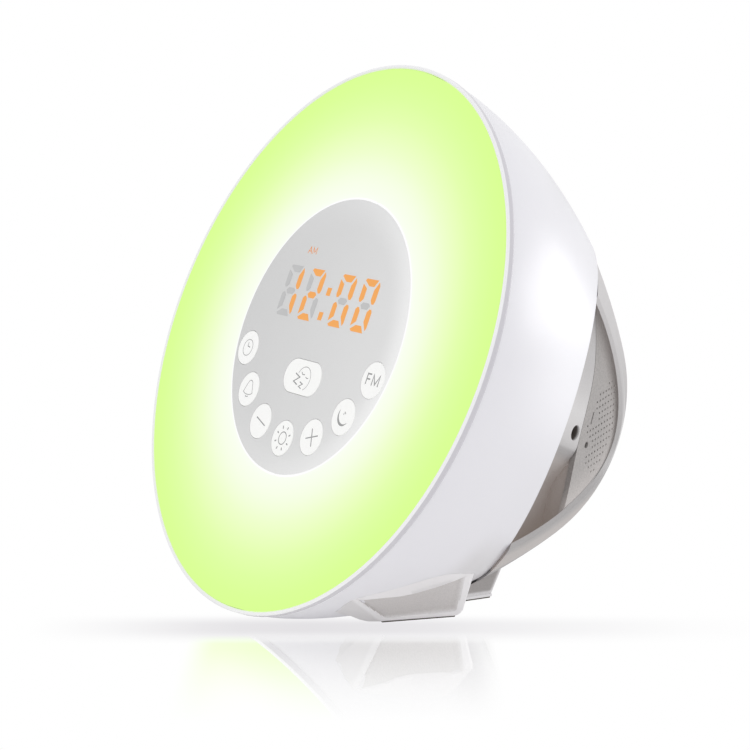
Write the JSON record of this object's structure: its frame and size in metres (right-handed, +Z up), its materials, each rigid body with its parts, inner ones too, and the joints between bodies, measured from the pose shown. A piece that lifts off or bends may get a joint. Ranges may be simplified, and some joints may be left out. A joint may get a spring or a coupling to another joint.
{
  "type": "sunrise alarm clock",
  "caption": "Round bowl-shaped wake-up light and alarm clock with a glowing face, a central display panel with round keys, a flat-sided rear housing and short feet.",
  "frame": {"origin": "on the floor under the middle of the bounding box", "axes": "+Z up, the face looks along -Y and leans back, +X to the right of the face as one reads it"},
  "size_m": [0.1706, 0.1338, 0.1591],
  "materials": {
    "bezel": "gloss",
    "diffuser": "frosted, lit from behind",
    "light_guide": "clear, lit",
    "panel": "fine matt",
    "key": "satin with grey icon",
    "digits_lit": "lit",
    "digits_dark": "unlit",
    "shell": "satin white",
    "housing": "fine grain",
    "insert": "grained",
    "foot": "satin",
    "pad": "matt",
    "steel": "zinc plated",
    "inner_plastic": "matt",
    "reflector": "white reflective",
    "board": "green solder mask",
    "white_board": "white solder mask",
    "led": "clear over phosphor",
    "switch": "black",
    "display": "black",
    "component": "black",
    "speaker_metal": "black",
    "magnet": "plated",
    "cone": "paper",
    "jack": "black",
    "nickel": "nickel plated",
    "reset": "black",
    "holder": "black",
    "cell": "stainless"
  },
  "bodies": {
    "housing": {"battery_contact": "nickel", "battery_holder": "holder", "board_components": "component", "board_screws": "steel", "coin_cell": "cell", "control_panel": "panel", "dc_jack": "jack", "digit_windows_dark": "digits_dark", "digit_windows_lit": "digits_lit", "display_module": "display", "face_screws": "steel", "foot_screws": "steel", "front_bezel_ring": "bezel", "front_diffuser": "diffuser", "front_foot_left": "foot", "front_foot_pads": "pad", "front_foot_right": "foot", "housing_screws": "steel", "jack_centre_pin": "nickel", "key_board": "board", "led_ring_board": "white_board", "main_board": "board", "panel_frame": "inner_plastic", "panel_light_ring": "light_guide", "rear_foot_left": "foot", "rear_foot_pads": "pad", "rear_foot_right": "foot", "rear_housing": "housing", "reflector_dish": "reflector", "reset_switch": "switch", "ring_leds": "led", "side_panel_left": "insert", "side_panel_right": "insert", "speaker_frame": "speaker_metal", "speaker_gasket": "pad", "speaker_magnet": "magnet", "tact_switches": "switch", "white_shell": "shell"},
    "key_alarm_set": {"key_alarm_set": "key"},
    "key_bell": {"key_bell": "key"},
    "key_light": {"key_light": "key"},
    "key_minus": {"key_minus": "key"},
    "key_plus": {"key_plus": "key"},
    "key_radio": {"key_radio": "key"},
    "key_sleep": {"key_sleep": "key"},
    "key_snooze": {"key_snooze": "key"},
    "reset_button": {"reset_button": "reset"},
    "speaker_cone": {"speaker_cone": "cone"},
    "battery_door": {"battery_door": "housing"}
  },
  "joints": [
    {"name": "key_alarm_set_press", "type": "slide", "parent": "housing", "child": "key_alarm_set", "axis": [0, 0.9245, -0.3811], "range_m": [0, 0.0006], "stiffness_N_per_m": 800, "springref_m": -0.0002},
    {"name": "key_bell_press", "type": "slide", "parent": "housing", "child": "key_bell", "axis": [0, 0.9245, -0.3811], "range_m": [0, 0.0006], "stiffness_N_per_m": 800, "springref_m": -0.0002},
    {"name": "key_light_press", "type": "slide", "parent": "housing", "child": "key_light", "axis": [0, 0.9245, -0.3811], "range_m": [0, 0.0006], "stiffness_N_per_m": 800, "springref_m": -0.0002},
    {"name": "key_minus_press", "type": "slide", "parent": "housing", "child": "key_minus", "axis": [0, 0.9245, -0.3811], "range_m": [0, 0.0006], "stiffness_N_per_m": 800, "springref_m": -0.0002},
    {"name": "key_plus_press", "type": "slide", "parent": "housing", "child": "key_plus", "axis": [0, 0.9245, -0.3811], "range_m": [0, 0.0006], "stiffness_N_per_m": 800, "springref_m": -0.0002},
    {"name": "key_radio_press", "type": "slide", "parent": "housing", "child": "key_radio", "axis": [0, 0.9245, -0.3811], "range_m": [0, 0.0006], "stiffness_N_per_m": 800, "springref_m": -0.0002},
    {"name": "key_sleep_press", "type": "slide", "parent": "housing", "child": "key_sleep", "axis": [0, 0.9245, -0.3811], "range_m": [0, 0.0006], "stiffness_N_per_m": 800, "springref_m": -0.0002},
    {"name": "key_snooze_press", "type": "slide", "parent": "housing", "child": "key_snooze", "axis": [0, 0.9245, -0.3811], "range_m": [0, 0.0006], "stiffness_N_per_m": 800, "springref_m": -0.0002},
    {"name": "reset_press", "type": "slide", "parent": "housing", "child": "reset_button", "axis": [-0.9301, -0.3397, 0.14], "range_m": [0, 0.0006], "stiffness_N_per_m": 500, "springref_m": -0.0002},
    {"name": "speaker_cone_throw", "type": "slide", "parent": "housing", "child": "speaker_cone", "axis": [0.9301, 0.3397, -0.14], "range_m": [-0.0008, 0.0008], "stiffness_N_per_m": 1000},
    {"name": "battery_door_lift", "type": "slide", "parent": "housing", "child": "battery_door", "axis": [0, 0.9245, -0.3811], "range_m": [0, 0.012]}
  ]
}
